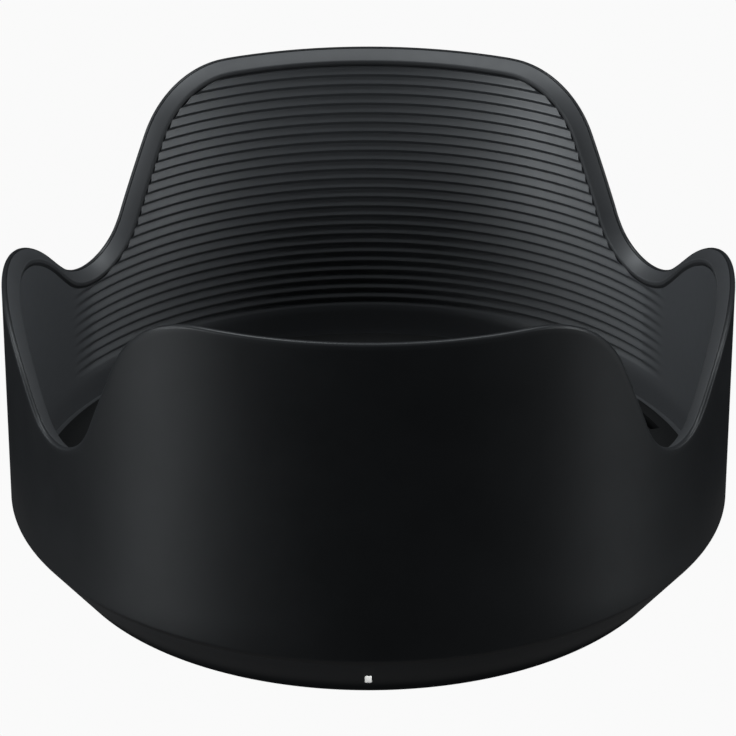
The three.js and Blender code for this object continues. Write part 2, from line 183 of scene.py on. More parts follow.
def rounded(corners, closed=True, steps=3):
    """An outline through (x, y) or (x, y, radius) corners, each rounded to its radius."""
    points = []
    count = len(corners)
    for i, corner in enumerate(corners):
        here = np.array(corner[:2], float)
        end = not closed and i in (0, count - 1)
        if len(corner) == 2 or end:
            points.append(here)
            continue
        radius = corner[2]
        back = unit(np.array(corners[i - 1][:2]) - here)
        ahead = unit(np.array(corners[(i + 1) % count][:2]) - here)
        half = math.acos(np.clip(back @ ahead, -1, 1)) / 2
        centre = here + unit(back + ahead) * radius / math.sin(half)
        start = here + back * radius / math.tan(half) - centre
        finish = here + ahead * radius / math.tan(half) - centre
        first = math.atan2(start[1], start[0])
        sweep = (math.atan2(finish[1], finish[0]) - first + math.pi) % (2 * math.pi) - math.pi
        for step in range(steps + 1):
            angle = first + sweep * step / steps
            points.append(centre + radius * np.array([math.cos(angle), math.sin(angle)]))
    return points


def faces_of(index):
    """Faces of a grid of point numbers that closes in both directions. Repeated numbers fold a face away."""
    along, across = np.roll(index, -1, 0), np.roll(index, -1, 1)
    corner = np.roll(along, -1, 1)
    faces = []
    for quad in np.stack([index, along, corner, across], -1).reshape(-1, 4).tolist():
        face = [point for n, point in enumerate(quad) if point != quad[n - 1]]
        if len(set(face)) == len(face) > 2:
            faces.append(face)
    return faces


def grid_solid(grid):
    """A solid from a grid of points that closes in both directions, such as a ring's stations and section."""
    columns, rows = grid.shape[:2]
    return grid.reshape(-1, 3), faces_of(np.arange(columns * rows).reshape(columns, rows))


def folded_solid(grid, keeps):
    """The same, where each point that isn't kept folds onto the kept one before it in its column."""
    columns, rows = keeps.shape
    kept_row = np.maximum.accumulate(np.where(keeps, np.arange(rows), 0), 1)
    index = kept_row + (np.arange(columns) * rows)[:, None]
    used, packed = np.unique(index, return_inverse=True)
    return grid.reshape(-1, 3)[used], faces_of(packed.reshape(index.shape))


def spun(outline, sides):
    """Grid of points from an outline of (radius, z), turned about Z."""
    angle = np.linspace(0, 2 * math.pi, sides, endpoint=False)[:, None]
    radius, z = np.array(outline).T
    return np.stack([radius * np.cos(angle), radius * np.sin(angle), z + 0 * angle], -1)


def lathe(outline, sides):
    """A ring about Z from a closed outline of (radius, z)."""
    return grid_solid(spun(outline, sides))


def prism(outline, low, high):
    """A closed outline of (x, y), pulled straight from one height to another."""
    count = len(outline)
    points = [(x, y, z) for z in (low, high) for x, y in outline]
    sides = [[i, (i + 1) % count, count + (i + 1) % count, count + i] for i in range(count)]
    return np.array(points, float), sides + [list(range(count))[::-1], list(range(count, 2 * count))]


def circle(radius, sides, at_x=0.0, at_y=0.0):
    turn = np.linspace(0, 2 * math.pi, sides, endpoint=False)
    return np.stack([at_x + radius * np.cos(turn), at_y + radius * np.sin(turn)], -1)


def post(radius, low, high, at_radius, at_angle, sides=48):
    at_x, at_y = at_radius * math.cos(at_angle), at_radius * math.sin(at_angle)
    return prism(circle(radius, sides, at_x, at_y), low, high)


def lying_prism(outline, from_x, to_x):
    """A closed outline of (y, z), pulled along X."""
    points, faces = prism(outline, from_x, to_x)
    return points[:, [2, 0, 1]], faces


def sector(low, high, inner, outer, start, end):
    """A block between two heights, two radii and two angles in degrees."""
    steps = max(2, math.ceil(end - start))
    turn = np.radians(np.linspace(start, end, steps + 1))
    arc = np.stack([np.cos(turn), np.sin(turn)], -1)
    return prism(np.concatenate([outer * arc, inner * arc[::-1]]), low, high)


def block(low, high):
    (x0, y0, z0), (x1, y1, z1) = low, high
    return prism([(x0, y0), (x1, y0), (x1, y1), (x0, y1)], z0, z1)


def turned(solid, angle):
    points, faces = solid
    c, s = math.cos(angle), math.sin(angle)
    return points @ np.array([[c, s, 0], [-s, c, 0], [0, 0, 1]]), faces


def tilted(solid, angle):
    """Turned about Y: a positive angle leans the top outward, to +X."""
    points, faces = solid
    c, s = math.cos(angle), math.sin(angle)
    return points @ np.array([[c, 0, -s], [0, 1, 0], [s, 0, c]]), faces


def moved(solid, x, y, z):
    return solid[0] + np.array([x, y, z]), solid[1]


def merged(*solids):
    points, faces = [], []
    for solid_points, solid_faces in solids:
        start = sum(len(p) for p in points)
        points.append(solid_points)
        faces += [[start + n for n in face] for face in solid_faces]
    return np.concatenate(points), faces


def mesh_of(solid):
    points, faces = solid
    mesh = bpy.data.meshes.new("solid")
    mesh.from_pydata((np.asarray(points) * MM).tolist(), [], faces)
    work = bmesh.new()
    work.from_mesh(mesh)
    bmesh.ops.recalc_face_normals(work, faces=work.faces)
    work.to_mesh(mesh)
    work.free()
    return mesh


def solid_of(mesh):
    return np.array([v.co for v in mesh.vertices]) / MM, [list(p.vertices) for p in mesh.polygons]


def object_of(mesh, name):
    made = bpy.data.objects.new(name, mesh)
    bpy.context.scene.collection.objects.link(made)
    return made


def with_modifiers_applied(made):
    bpy.context.view_layer.update()
    result = bpy.data.meshes.new_from_object(made.evaluated_get(bpy.context.evaluated_depsgraph_get()))
    made.modifiers.clear()
    made.data = result
    return made


def combined(mesh, solid, operation):
    """The mesh after a solid is joined to it, cut from it or crossed with it."""
    base = object_of(mesh, "base")
    tool = object_of(mesh_of(solid), "tool")
    modifier = base.modifiers.new("boolean", "BOOLEAN")
    modifier.object = tool
    modifier.operation = operation
    modifier.solver = "EXACT"
    result = with_modifiers_applied(base).data
    bpy.data.objects.remove(base)
    bpy.data.objects.remove(tool)
    return result


def joined(mesh, *solids):
    for solid in solids:
        mesh = combined(mesh, solid, "UNION")
    return mesh


def cut(mesh, *solids):
    for solid in solids:
        mesh = combined(mesh, solid, "DIFFERENCE")
    return mesh


def cleaned(mesh, flat_angle=None):
    """The mesh without doubled points and slivers, and with flat neighbours merged if an angle is given."""
    work = bmesh.new()
    work.from_mesh(mesh)
    bmesh.ops.remove_doubles(work, verts=work.verts, dist=0.002 * MM)
    bmesh.ops.dissolve_degenerate(work, edges=work.edges, dist=0.001 * MM)
    if flat_angle:
        bmesh.ops.dissolve_limit(work, angle_limit=flat_angle, verts=work.verts, edges=work.edges)
    work.to_mesh(mesh)
    work.free()
    return mesh


def softened(mesh, width, angle=35, segments=2):
    """The mesh with its sharp edges rounded over a width in mm."""
    made = object_of(mesh, "softened")
    bevel = made.modifiers.new("bevel", "BEVEL")
    bevel.width = width * MM
    bevel.segments = segments
    bevel.limit_method = "ANGLE"
    bevel.angle_limit = math.radians(angle)
    result = with_modifiers_applied(made).data
    bpy.data.objects.remove(made)
    return result


def note_edges(mesh, gentle=4, sharp=14):
    """Stores at each point, as "edge", how sharply the surface bends outward there: from 0, gentle, to 1."""
    work = bmesh.new()
    work.from_mesh(mesh)
    bends = []
    for vert in work.verts:
        bends.append(max((edge.calc_face_angle_signed(0) for edge in vert.link_edges), default=0))
    work.free()
    share = np.clip((np.degrees(bends) - gentle) / (sharp - gentle), 0, 1)
    mesh.attributes.new("edge", "FLOAT", "POINT").data.foreach_set("value", share)


def piece(name, mesh, body, material, node, sharp_angle=33):
    """A finished piece that stands for one CAD node and rides on its body."""
    mesh.name = name
    note_edges(mesh)
    mesh.materials.clear()
    mesh.materials.append(material)
    mesh.shade_smooth()
    mesh.set_sharp_from_angle(angle=math.radians(sharp_angle))
    made = object_of(mesh, name)
    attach(made, body)
    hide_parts(node)
    return made


# ---------- petal edge ----------

class PetalEdge:
    """Stations round the petal edge. The CAD shell holds points along it, and a smooth curve joins them."""

    def __init__(self, rib_rows, spacing=0.9):
        self.dense = dense = self.smooth_curve(self.cad_points())
        inner_z = dense["z"] + TRIM_DEPTH * dense["down_z"]
        places = self.spread(self.crossings(inner_z, rib_rows), spacing)
        numbers = np.arange(len(dense["x"]) + 1)
        lap = 2 * math.pi * OUTER_R
        for name, values in dense.items():
            closed = np.append(values, values[0] + (lap if name == "x" else 0))
            setattr(self, name, np.interp(places, numbers, closed))

    @staticmethod
    def cad_points():
        """(arc length round the barrel, height) of each CAD station, in order."""
        corners = np.array([v.co for v in frame["nodes"]["hood_shell"].data.vertices]) / MM
        radius = np.hypot(corners[:, 0], corners[:, 1])
        on_edge = (abs(radius - (OUTER_R - EDGE_ROUND)) < 0.01) & (corners[:, 2] > LEDGE_Z + 1)
        x, y, z = corners[on_edge].T
        angle = np.round(np.arctan2(y, x) % (2 * math.pi), 5)
        order = np.unique(angle, return_index=True)[1]
        return np.stack([angle[order] * OUTER_R, z[order]], -1)

    @staticmethod
    def smooth_curve(points, steps=8):
        """A closed Catmull-Rom curve through the points, with its direction down into the wall."""
        lap = np.array([2 * math.pi * OUTER_R, 0])
        before = np.concatenate([points[-1:] - lap, points[:-1]])
        after = np.concatenate([points[1:], points[:1] + lap])
        beyond = np.concatenate([points[2:], points[:2] + lap])
        t = (np.arange(steps) / steps)[None, :, None]
        p0, p1, p2, p3 = (p[:, None] for p in (before, points, after, beyond))
        squared = 2 * p0 - 5 * p1 + 4 * p2 - p3
        cubed = 3 * p1 - p0 - 3 * p2 + p3
        curve = p1 + (t * (p2 - p0) + t**2 * squared + t**3 * cubed) / 2
        along = (p2 - p0) / 2 + t * squared + 1.5 * t**2 * cubed
        x, z = curve.reshape(-1, 2).T
        z = np.minimum(z, shell_high[2])
        along_x, along_z = (along / np.linalg.norm(along, axis=-1, keepdims=True)).reshape(-1, 2).T
        return {"x": x, "z": z, "down_x": along_z, "down_z": -along_x}

    @staticmethod
    def crossings(height, rows):
        """Where the curve passes each row's height, as fractional point numbers."""
        ahead = np.roll(height, -1)
        places = []
        for row in rows:
            passing = np.nonzero((height - row) * (ahead - row) < 0)[0]
            places += (passing + (row - height[passing]) / (ahead[passing] - height[passing])).tolist()
        return np.sort(places)

    def spread(self, places, spacing):
        """The places, with more between them wherever they stand further apart than the spacing."""
        x, z = self.dense["x"], self.dense["z"]
        step = np.hypot(np.diff(x, append=x[0] + 2 * math.pi * OUTER_R), np.roll(z, -1) - z).mean()
        filled = []
        for here, there in zip(places, np.append(places[1:], places[0] + len(x))):
            parts = max(1, math.ceil((there - here) * step / spacing))
            filled += np.linspace(here, there, parts, endpoint=False).tolist()
        return np.sort(np.mod(filled, len(x)))

    def below(self, radius, depth):
        """Points at a depth below the edge, square to it."""
        angle = (self.x + depth * self.down_x) / OUTER_R
        return self.around(radius, angle, self.z + depth * self.down_z)

    def level(self, radius, z):
        return self.around(radius, self.x / OUTER_R, z)

    @staticmethod
    def around(radius, angle, z):
        return np.stack(np.broadcast_arrays(radius * np.cos(angle), radius * np.sin(angle), z), -1)


def rib_rows(steps=3):
    """Heights of the ribs' rows: each rib's stations up to its groove, and from there to the next crest."""
    up_to_groove = [RIB_SKEW * i / steps for i in range(steps)]
    beyond = [RIB_SKEW + (1 - RIB_SKEW) * i / steps for i in range(steps)]
    shares = up_to_groove + beyond
    return [BOTTOM_RIB_Z + (i + share) * RIB_PITCH for i in range(RIB_COUNT) for share in shares]


SMOOTH_ROWS = [LEDGE_Z, LEDGE_Z + 1.5, BOTTOM_RIB_Z - 1]
ROWS = np.array(SMOOTH_ROWS + rib_rows())
EDGE = PetalEdge(ROWS[len(SMOOTH_ROWS):])


def rib_fullness(angle):
    """0 on the short petals, 1 on the tall ones, and a smooth fade between."""
    from_short = np.abs((angle + math.pi / 2) % math.pi - math.pi / 2)
    share = np.clip((from_short - RIBS_END_ANGLE) / (RIBS_FULL_ANGLE - RIBS_END_ANGLE), 0, 1)
    return share * share * (3 - 2 * share)


def inner_radius(angle, z):
    """The inner wall: a skewed wave, with a long slope up from each crest and a steep one under the next."""
    share = (z - BOTTOM_RIB_Z) / RIB_PITCH % 1
    half_turns = np.where(share < RIB_SKEW, share / RIB_SKEW, 1 + (share - RIB_SKEW) / (1 - RIB_SKEW))
    wave = np.where(z > BOTTOM_RIB_Z, (1 - np.cos(math.pi * half_turns)) / 2, 0)
    return INNER_R + RIB_DEPTH * wave * rib_fullness(angle)


# ---------- shell and trim ----------

def inner_wall():
    """Grid of the inner wall from its top down to the ledge, and which of its rows each station keeps."""
    angle = ((EDGE.x + TRIM_DEPTH * EDGE.down_x) / OUTER_R)[:, None]
    top = (EDGE.z + TRIM_DEPTH * EDGE.down_z)[:, None]
    z = np.concatenate([top, np.broadcast_to(ROWS[::-1], (len(top), len(ROWS)))], 1)
    z = np.minimum(z, top)
    ribbed = rib_fullness(angle) > 0
    near_ribs = ribbed | np.roll(ribbed, 1, 0) | np.roll(ribbed, -1, 0)
    every_so_often = (np.arange(z.shape[1]) % 24 == 0)[None, :]
    clear_of_top = z < top - 0.0001
    keeps = clear_of_top & (near_ribs | every_so_often)
    keeps[:, 0] = keeps[:, -1] = True
    return EDGE.around(inner_radius(angle, z), angle, z), keeps


def face_depth(radius):
    """Depth of the petal edge's sloping face below its crest."""
    return (OUTER_R - EDGE_ROUND - radius) * math.tan(RIM_SLOPE) + EDGE_ROUND * (1 - 1 / math.cos(RIM_SLOPE))


def shell_mesh():
    """The barrel with its petals: underside, outside, rounded edge, rebate for the trim, inner wall."""
    foot_corner_z = SEAT_Z + (OUTER_R - taper_radius(SEAT_Z)) / TAPER
    underside = rounded([
        (SHELL_LIP_R, LEDGE_Z),
        (SHELL_LIP_R, SEAT_Z, 0.08),
        (taper_radius(SEAT_Z), SEAT_Z, 0.02),
        (OUTER_R, foot_corner_z, BARREL_EDGE_ROUND),
        (OUTER_R, foot_corner_z + 0.4),
    ], closed=False, steps=4)
    rim = rounded([
        (OUTER_R, 1),
        (OUTER_R, face_depth(OUTER_R), EDGE_ROUND),
        (LIP_R, face_depth(LIP_R), 0.04),
        (LIP_R, TRIM_DEPTH),
    ], closed=False, steps=6)
    low_row = EDGE.level(*underside[-1])
    high_row = EDGE.below(*rim[0])
    outside = [low_row * (1 - share) + high_row * share for share in np.linspace(0, 1, 7)[1:-1]]
    for row in outside:        # the rows are chords, so each is pushed out to the barrel's radius
        row[:, :2] *= (OUTER_R / np.hypot(row[:, 0], row[:, 1]))[:, None]
    section = [EDGE.level(*point) for point in underside] + outside + [EDGE.below(*point) for point in rim]
    wall, keeps = inner_wall()
    grid = np.concatenate([np.stack(section, 1), wall], 1)
    keeps = np.concatenate([np.ones((len(wall), len(section)), bool), keeps], 1)
    return mesh_of(folded_solid(grid, keeps))


def trim_mesh():
    """The band in the petal edge's rebate: a seat against the lip, a sloping face, a bead and a groove."""
    bead_r = INNER_R - 0.1
    seat_r = LIP_R - 0.03
    bottom = TRIM_DEPTH - 0.05
    section = rounded([
        (INNER_R + TRIM_GROOVE, bottom, 0.05),
        (seat_r, bottom, 0.1),
        (seat_r, face_depth(seat_r) + 0.01, 0.04),
        (bead_r, face_depth(bead_r), 0.3),
        (bead_r, TRIM_BEAD_DEPTH, 0.15),
    ], steps=5)
    return mesh_of(grid_solid(np.stack([EDGE.below(radius, depth) for radius, depth in section], 1)))


# ---------- foot and baffle ----------

def within_taper(solid, skin):
    """The part of a solid that lies inside the foot's taper, at least `skin` in from its surface."""
    top = SEAT_Z + 1
    points, faces = prism(circle(1, FINE_SIDES), 0, top)
    points[:, :2] *= np.where(points[:, 2:] == top, taper_radius(top) - skin, FOOT_R - skin)
    return solid_of(combined(mesh_of(solid), (points, faces), "INTERSECT"))


def mark_solid(extra):
    """The index mark's plate, lying flat on the taper and facing -Y, grown by `extra` to make its recess."""
    width = mark_high[0] - mark_low[0]
    height = mark_high[2] - mark_low[2]
    length = (height - MARK_THICKNESS * math.sin(TAPER_ANGLE)) / math.cos(TAPER_ANGLE)
    y, z = width / 2 + extra, length / 2 + extra
    corners = [(-y, -z), (y, -z), (y, z), (-y, z)]
    outline = rounded([(*corner, MARK_CORNER) for corner in corners], steps=5)
    plate = lying_prism(outline, -MARK_THICKNESS - extra, MARK_PROUD)
    face_z = (mark_low[2] + mark_high[2]) / 2 - MARK_DROP
    return turned(moved(tilted(plate, TAPER_ANGLE), taper_radius(face_z), 0, face_z), -math.pi / 2)


def foot_mesh():
    """The tapered foot: a hollow ring with bayonet lugs, screw posts, and the lock's pocket and windows."""
    outline = rounded([
        (BORE_R, 0, 0.15),
        (FOOT_R, 0, 0.25),
        (taper_radius(SEAT_Z), SEAT_Z, 0.02),
        (CAVITY_OUTER_R, SEAT_Z, 0.1),
        (CAVITY_OUTER_R, CAVITY_EDGE_Z, 0.4),
        (CAVITY_INNER_R, CAVITY_FLOOR_Z, 0.4),
        (CAVITY_INNER_R, SEAT_Z, 0.1),
        (BORE_R, SEAT_Z, 0.15),
    ])
    lugs = [sector(*LUG_Z, LUG_R, BORE_R + 0.5, middle - LUG_HALF_ANGLE, middle + LUG_HALF_ANGLE)
            for middle in LUG_ANGLES]
    screw_posts = [within_taper(post(SCREW_POST_R, 2, SEAT_Z, SCREW_CIRCLE_R, angle), SKIN / 2)
                   for angle in SCREW_ANGLES]
    screw_holes = [post(SCREW_SHANK_R + 0.08, SCREW_HOLE_Z, SEAT_Z + 1, SCREW_CIRCLE_R, angle)
                   for angle in SCREW_ANGLES]
    pocket = sector(LOCK_POCKET_Z, SEAT_Z + 1, LOCK_POCKET_R, CAVITY_OUTER_R, *LOCK_POCKET_ANGLES)
    pocket = within_taper(pocket, SKIN)
    pivot_post = within_taper(post(PIVOT_POST_R, 1, lever_low[2] - 0.1, PIVOT_R, PIVOT_ANGLE), SKIN / 2)
    pin_hole = post(PIN_R + 0.02, pin_low[2] - 0.1, PIN_HOLE_TOP_Z, PIVOT_R, PIVOT_ANGLE)
    side, low, high = BUTTON_HALF_WIDTH + GAP, button_low[2] - GAP, button_high[2] + GAP
    window = block((LOCK_POCKET_R + 0.5, -side, low), (OUTER_R + 2, side, high))
    low, high = lever_low[2] - GAP, lever_high[2] + GAP
    tooth_window = sector(low, high, BORE_R - 0.5, LOCK_POCKET_R + 0.2, *TOOTH_WINDOW_ANGLES)
    body = joined(mesh_of(lathe(outline, FINE_SIDES)), merged(*lugs), merged(*screw_posts))
    body = joined(cut(body, pocket), pivot_post)
    body = cut(body, turned(window, BUTTON_ANGLE), tooth_window, pin_hole, merged(*screw_holes))
    return cleaned(cut(body, mark_solid(MARK_CLEARANCE)))


def baffle_mesh():
    """The flat ledge inside: a stepped ring with a slot over the lock and counterbored screw holes."""
    step_r = SHELL_LIP_R - GAP
    edge_r = baffle_high[0]
    top_z = baffle_high[2]
    outline = rounded([
        (BAFFLE_R + 0.4, SEAT_Z, 0.1),
        (step_r, SEAT_Z, 0.1),
        (step_r, LEDGE_Z),
        (edge_r, LEDGE_Z, 0.1),
        (edge_r, top_z, 0.25),
        (BAFFLE_R, top_z, 0.2),
        (BAFFLE_R, top_z - 0.4, 0.1),
    ])
    low, high = SEAT_Z - 1, top_z + 1
    slot = sector(low, high, *BAFFLE_SLOT_R, *BAFFLE_SLOT_ANGLES)
    through = [post(SCREW_SHANK_R + 0.15, low, high, SCREW_CIRCLE_R, angle) for angle in SCREW_ANGLES]
    counterbores = [post(SCREW_HEAD_R + 0.1, SCREW_HEAD_Z, high, SCREW_CIRCLE_R, angle)
                    for angle in SCREW_ANGLES]
    return cut(mesh_of(lathe(outline, FINE_SIDES)), slot, merged(*through), merged(*counterbores))


def capped(grid):
    """A tube from a grid of (stations round, rows along), closed with one face at each end."""
    columns, rows = grid.shape[:2]
    index = np.arange(columns * rows).reshape(columns, rows)
    faces = [[index[i, j], index[(i + 1) % columns, j], index[(i + 1) % columns, j + 1], index[i, j + 1]]
             for i in range(columns) for j in range(rows - 1)]
    faces += [index[::-1, 0].tolist(), index[:, -1].tolist()]
    return grid.reshape(-1, 3), [[int(n) for n in face] for face in faces]


def turned_part(outline, sides):
    """A part turned on Z from an open outline of (radius, z), capped where its ends stand off the axis."""
    return capped(spun(outline, sides))


def screw_mesh(angle):
    """A pan-head screw with a cross recess and a rolled thread, its head on the baffle's counterbore."""
    head_top = 0.5
    head_outline = [(0.3, 0), (SCREW_HEAD_R, 0, 0.08), (SCREW_HEAD_R, head_top, 0.3), (0.3, head_top)]
    head = turned_part(rounded(head_outline, closed=False), 48)
    turns = np.linspace(0, 2 * math.pi, 32, endpoint=False)[:, None]
    z = np.linspace(0.1, -SCREW_LENGTH, 96)[None, :]
    winding = np.abs(2 * ((z / THREAD_PITCH - turns / (2 * math.pi)) % 1) - 1)
    runs_in = np.clip((-z - 0.2) / 0.3, 0, 1)                            # no thread under the head
    narrows = 0.2 + 0.8 * np.clip((z + SCREW_LENGTH) / 0.6, 0, 1)        # the pointed tip
    radius = (SCREW_SHANK_R - THREAD_DEPTH * winding * runs_in) * narrows
    shank = capped(np.stack([radius * np.cos(turns), radius * np.sin(turns), z + 0 * turns], -1))
    recess = block((-CROSS_HALF_LENGTH, -CROSS_HALF_WIDTH, 0.2), (CROSS_HALF_LENGTH, CROSS_HALF_WIDTH, 1))
    mesh = cut(joined(mesh_of(head), shank), recess, turned(recess, math.pi / 2))
    at_x, at_y = SCREW_CIRCLE_R * math.cos(angle), SCREW_CIRCLE_R * math.sin(angle)
    return mesh_of(moved(turned(solid_of(mesh), angle), at_x, at_y, SCREW_HEAD_Z))


# ---------- lock ----------

def button_mesh():
    """The push button: a block that follows the taper, with grip grooves, side ears and two spring holes."""
    low_z, high_z = button_low[2], button_high[2]
    middle_z = (low_z + high_z) / 2
    outward = BUTTON_PROUD / math.cos(TAPER_ANGLE)
    side = rounded([
        (BUTTON_INNER_R, low_z, 0.15),
        (taper_radius(low_z) + outward, low_z, 0.3),
        (taper_radius(high_z) + outward, high_z, 0.1),
        (BUTTON_INNER_R, high_z, 0.15),
    ], steps=4)
    points, faces = prism(side, -BUTTON_HALF_WIDTH, BUTTON_HALF_WIDTH)
    body = softened(mesh_of((points[:, [0, 2, 1]], faces)), 0.2, angle=60, segments=3)
    ears_r = CAVITY_OUTER_R - GAP
    ears = sector(lever_low[2], high_z, BUTTON_INNER_R, ears_r, -EAR_HALF_ANGLE, EAR_HALF_ANGLE)
    spring_holes = [lying_prism(circle(SPRING_HOLE_R, 32, y, SPRING_Z), BUTTON_INNER_R - 1, SPRING_HOLE_END_R)
                    for y in (-SPRING_OFFSET, SPRING_OFFSET)]
    groove = tilted(prism(circle(BUTTON_GROOVE_R, 32), -4, 4), TAPER_ANGLE)
    grooves = [moved(groove, taper_radius(middle_z) + outward, place * BUTTON_GROOVE_PITCH, middle_z)
               for place in (-1.5, -0.5, 0.5, 1.5)]
    mesh = cut(joined(body, ears), merged(*spring_holes), merged(*grooves))
    return mesh_of(turned(solid_of(mesh), BUTTON_ANGLE))


def spring_mesh(sideways):
    """A coil along the button's travel, with closed end turns."""
    share = np.linspace(0, 1, SPRING_TURNS * 40 + 1)
    closed_end = 0.5 / SPRING_TURNS
    run = np.clip((share - closed_end) / (1 - 2 * closed_end), 0, 1)
    length = SPRING_END_R - SPRING_START_R - 4 * SPRING_WIRE_R
    end_turns = np.clip(share / closed_end, 0, 1) + np.clip((share - 1) / closed_end + 1, 0, 1)
    x = SPRING_START_R + SPRING_WIRE_R + run * length + SPRING_WIRE_R * end_turns
    winding = 2 * math.pi * SPRING_TURNS * share
    outward = np.stack([0 * x, np.cos(winding), np.sin(winding)], -1)
    centre = np.stack([x, sideways + 0 * x, SPRING_Z + 0 * x], -1) + SPRING_COIL_R * outward
    along = np.gradient(centre, axis=0)
    along /= np.linalg.norm(along, axis=1, keepdims=True)
    outward -= along * (outward * along).sum(1, keepdims=True)
    outward /= np.linalg.norm(outward, axis=1, keepdims=True)
    across = np.cross(along, outward)
    turn = np.linspace(0, 2 * math.pi, 12, endpoint=False)[:, None, None]
    tube = centre + SPRING_WIRE_R * (np.cos(turn) * outward + np.sin(turn) * across)
    return mesh_of(turned(capped(tube), BUTTON_ANGLE))


def lever_mesh():
    """The rocking lever: the button's ear pushes its pad and the arm beyond the pivot carries the tooth."""
    low_z, high_z = lever_low[2], lever_high[2]
    hub = mesh_of(post(HUB_R, low_z, high_z, PIVOT_R, PIVOT_ANGLE))
    arms = [sector(low_z, high_z, *arm) for arm in LEVER_ARMS]
    bore = post(PIN_R + 0.06, low_z - 1, high_z + 1, PIVOT_R, PIVOT_ANGLE)
    sharp = cleaned(cut(joined(hub, *arms), bore), flat_angle=math.radians(0.2))
    return cleaned(softened(sharp, 0.06, angle=50))


def pin_mesh():
    """The lever's pin, with rounded ends."""
    low_z, high_z = pin_low[2], pin_high[2]
    ends = [(0.1, low_z), (PIN_R, low_z, 0.15), (PIN_R, high_z, 0.15), (0.1, high_z)]
    outline = rounded(ends, closed=False)
    at_x, at_y = PIVOT_R * math.cos(PIVOT_ANGLE), PIVOT_R * math.sin(PIVOT_ANGLE)
    return mesh_of(moved(turned_part(outline, 32), at_x, at_y, 0))


# ---------- materials ----------

class Nodes:
    """A short way to write a material's nodes: each call adds one, sets its inputs and returns its output."""

    def __init__(self, name):
        self.material = bpy.data.materials.new(name)
        self.material.use_nodes = True
        self.tree = self.material.node_tree
        self.tree.nodes.clear()

    def add(self, kind, output=0, settings=None, **inputs):
        node = self.tree.nodes.new("ShaderNode" + kind)
        for setting, value in (settings or {}).items():
            setattr(node, setting, value)
        for name, value in inputs.items():
            socket = node.inputs[int(name[1:])] if name[1:].isdigit() else node.inputs[name.replace("_", " ")]
            if isinstance(value, bpy.types.NodeSocket):
                self.tree.links.new(value, socket)
            else:
                socket.default_value = value
        return node.outputs[output] if node.outputs else None

    def noise(self, feature, detail=2.0, seed=0.0):
        """Noise whose features are about `feature` mm across, from 0 to 1."""
        place = self.add("TexCoord", output=3)
        shifted = self.add("VectorMath", _0=place, _1=(seed, seed, seed))
        return self.add("TexNoise", Vector=shifted, Scale=1 / (feature * MM), Detail=detail, Roughness=0.55)

    def scaled(self, value, low, high, from_low=0.0, from_high=1.0):
        """The value, taken from one range to another and held inside it."""
        ranges = {"From_Min": from_low, "From_Max": from_high, "To_Min": low, "To_Max": high}
        return self.add("MapRange", Value=value, **ranges)

    def scaled_and_added(self, value, factor, other):
        return self.add("Math", settings={"operation": "MULTIPLY_ADD"}, _0=value, _1=factor, _2=other)

    def mixed(self, share, colour, other):
        """Two colours mixed by a share: each is an (r, g, b) or another node's output."""
        ends = [c if isinstance(c, bpy.types.NodeSocket) else (*c, 1) for c in (colour, other)]
        return self.add("Mix", output=2, settings={"data_type": "RGBA"}, _0=share, _6=ends[0], _7=ends[1])

    def edge(self):
        """How sharply the surface bends here, as note_edges stored it."""
        return self.add("Attribute", output=2, settings={"attribute_name": "edge"})

    def radius(self):
        """Distance from the optical axis, in metres."""
        place = self.add("TexCoord", output=3)
        flat = self.add("VectorMath", settings={"operation": "MULTIPLY"}, _0=place, _1=(1, 1, 0))
        return self.add("VectorMath", output=1, settings={"operation": "LENGTH"}, _0=flat)

    def finish(self, **inputs):
        shader = self.add("BsdfPrincipled", **inputs)
        self.add("OutputMaterial", Surface=shader)
        return self.material


def slot_colour(name):
    slot = next(m for m in frame["record"]["materials"] if m["slot"] == name)
    return slot["base_color"]


def moulded_plastic(slot, roughness, grain=0.004, edge=0.5, specular=0.5, inside=None):
    """Satin black plastic: a spark-eroded grain, slow changes in sheen, and edges that handling has polished.
    `inside` is the (tone, roughness, specular) of the matte finish on the barrel's inner wall."""
    nodes = Nodes(slot)
    base = np.array(slot_colour(slot))
    mottle = nodes.noise(9, detail=4)
    fine = nodes.noise(0.16, detail=3, seed=1)
    drift = nodes.noise(26, detail=2, seed=2)
    scuffs = nodes.noise(1.6, detail=6, seed=3)
    edges = nodes.scaled(nodes.edge(), 0, edge)
    colour = nodes.mixed(nodes.scaled(mottle, 0, 1, 0.3, 0.7), base * 0.9, base * 1.12)
    if inside:
        inner_tone, inner_roughness, inner_specular = inside
        starts, ends = (INNER_R + 0.8) * MM, (INNER_R + 0.4) * MM
        inner = nodes.scaled(nodes.radius(), 0, 1, starts, ends)
        edges = nodes.scaled(inner, edges, 0)
        colour = nodes.mixed(inner, colour, base * inner_tone)
        roughness_here = nodes.scaled(inner, roughness, inner_roughness)
        specular = nodes.scaled(inner, specular, inner_specular)
    else:
        roughness_here = roughness
    worn = nodes.mixed(edges, colour, base * 1.9 + 0.004)      # polished edges look paler
    drifted = nodes.add("Math", _0=nodes.scaled(drift, -0.03, 0.03, 0.3, 0.7), _1=roughness_here)
    rubbed = nodes.scaled_and_added(scuffs, 0.08, drifted)
    finish = nodes.scaled_and_added(edges, -0.12, rubbed)
    bump = nodes.add("Bump", Height=fine, Strength=1.0, Distance=grain * MM)
    return nodes.finish(Base_Color=worn, Roughness=finish, Normal=bump, Specular_IOR_Level=specular)


